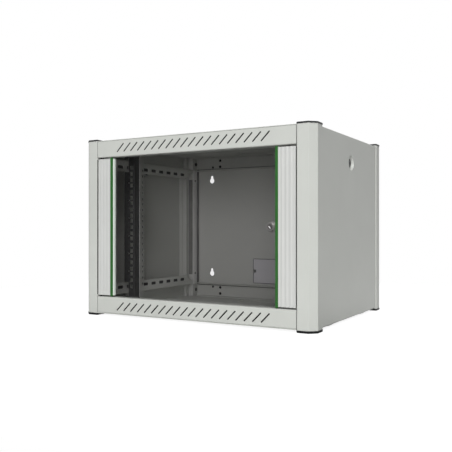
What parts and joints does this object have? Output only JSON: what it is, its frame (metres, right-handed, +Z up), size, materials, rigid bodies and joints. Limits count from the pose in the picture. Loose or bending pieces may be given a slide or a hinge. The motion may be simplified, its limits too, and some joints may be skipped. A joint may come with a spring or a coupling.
{
  "type": "wall mount network cabinet",
  "caption": "Light grey wall mount network cabinet with a framed glass door, bevelled corner posts, rack rails and lockable side panels.",
  "frame": {"origin": "middle of the underside of the four feet", "axes": "+Z up, the glass door faces -Y, the wall is at +Y, +X is to the right of someone facing the door"},
  "size_m": [0.6016, 0.4516, 0.422],
  "materials": {
    "grey_paint": "fine textured light grey powder coat",
    "rail_paint": "satin dark grey powder coat",
    "zinc": "zinc plated",
    "nickel": "bright nickel plate",
    "black_plastic": "fine matt grain",
    "grey_plastic": "smooth matt",
    "green_trim": "satin green",
    "pale_seal": "soft pale rubber",
    "tinted_glass": "clear toughened glass with a light grey tint"
  },
  "bodies": {
    "cabinet": {"front_left_post": "grey_paint", "front_right_post": "grey_paint", "rear_left_post": "grey_paint", "rear_right_post": "grey_paint", "front_left_top_cap": "black_plastic", "front_right_top_cap": "black_plastic", "rear_left_top_cap": "black_plastic", "rear_right_top_cap": "black_plastic", "front_left_foot_cap": "black_plastic", "front_right_foot_cap": "black_plastic", "rear_left_foot_cap": "black_plastic", "rear_right_foot_cap": "black_plastic", "front_top_fascia": "grey_paint", "front_bottom_fascia": "grey_paint", "rear_top_rail": "grey_paint", "rear_bottom_rail": "grey_paint", "roof_panel": "grey_paint", "floor_panel": "grey_paint", "roof_cable_cover": "grey_paint", "floor_cable_cover": "grey_paint", "back_panel": "grey_paint", "back_cable_cover": "grey_paint", "left_upper_bracket": "grey_paint", "left_lower_bracket": "grey_paint", "right_upper_bracket": "grey_paint", "right_lower_bracket": "grey_paint", "left_rack_rail": "rail_paint", "right_rack_rail": "rail_paint", "rail_bolts": "zinc", "rail_nuts": "zinc", "bracket_screws": "zinc", "frame_screws": "zinc", "panel_screws": "zinc", "hinge_bushes": "black_plastic"},
    "door": {"door_hinge_profile": "grey_paint", "door_lock_profile": "grey_paint", "door_glass": "tinted_glass", "glass_gaskets": "pale_seal", "hinge_side_trim": "green_trim", "lock_side_trim": "green_trim", "door_end_plugs": "grey_plastic", "upper_hinge_pin": "nickel", "lower_hinge_pin": "nickel", "door_lock_body": "nickel", "door_lock_washer": "black_plastic", "door_lock_nut": "nickel"},
    "door_lock": {"door_lock_core": "nickel", "door_lock_cam": "nickel", "door_cam_nut": "nickel"},
    "left_side": {"left_side_panel": "grey_paint", "left_panel_lock_body": "nickel", "left_panel_lock_nut": "nickel"},
    "left_side_lock": {"left_panel_lock_core": "nickel", "left_panel_lock_cam": "zinc"},
    "right_side": {"right_side_panel": "grey_paint", "right_panel_lock_body": "nickel", "right_panel_lock_nut": "nickel"},
    "right_side_lock": {"right_panel_lock_core": "nickel", "right_panel_lock_cam": "zinc"}
  },
  "joints": [
    {"name": "door_swing", "type": "hinge", "parent": "cabinet", "child": "door", "pos_m": [-0.251, -0.2188, 0.2117], "axis": [0, 0, -1], "range_deg": [0, 110]},
    {"name": "door_lock_turn", "type": "hinge", "parent": "door", "child": "door_lock", "pos_m": [0.2013, -0.2, 0.2117], "axis": [0, -1, 0], "range_deg": [-45, 45]},
    {"name": "left_side_tilt", "type": "hinge", "parent": "cabinet", "child": "left_side", "pos_m": [-0.2871, 0, 0.00575], "axis": [0, -1, 0], "range_deg": [0, 12]},
    {"name": "right_side_tilt", "type": "hinge", "parent": "cabinet", "child": "right_side", "pos_m": [0.2871, 0, 0.00575], "axis": [0, 1, 0], "range_deg": [0, 12]},
    {"name": "left_side_lock_turn", "type": "hinge", "parent": "left_side", "child": "left_side_lock", "pos_m": [-0.29, -0.004, 0.3567], "axis": [-1, 0, 0], "range_deg": [0, 90]},
    {"name": "right_side_lock_turn", "type": "hinge", "parent": "right_side", "child": "right_side_lock", "pos_m": [0.29, -0.004, 0.3567], "axis": [-1, 0, 0], "range_deg": [0, 90]}
  ]
}
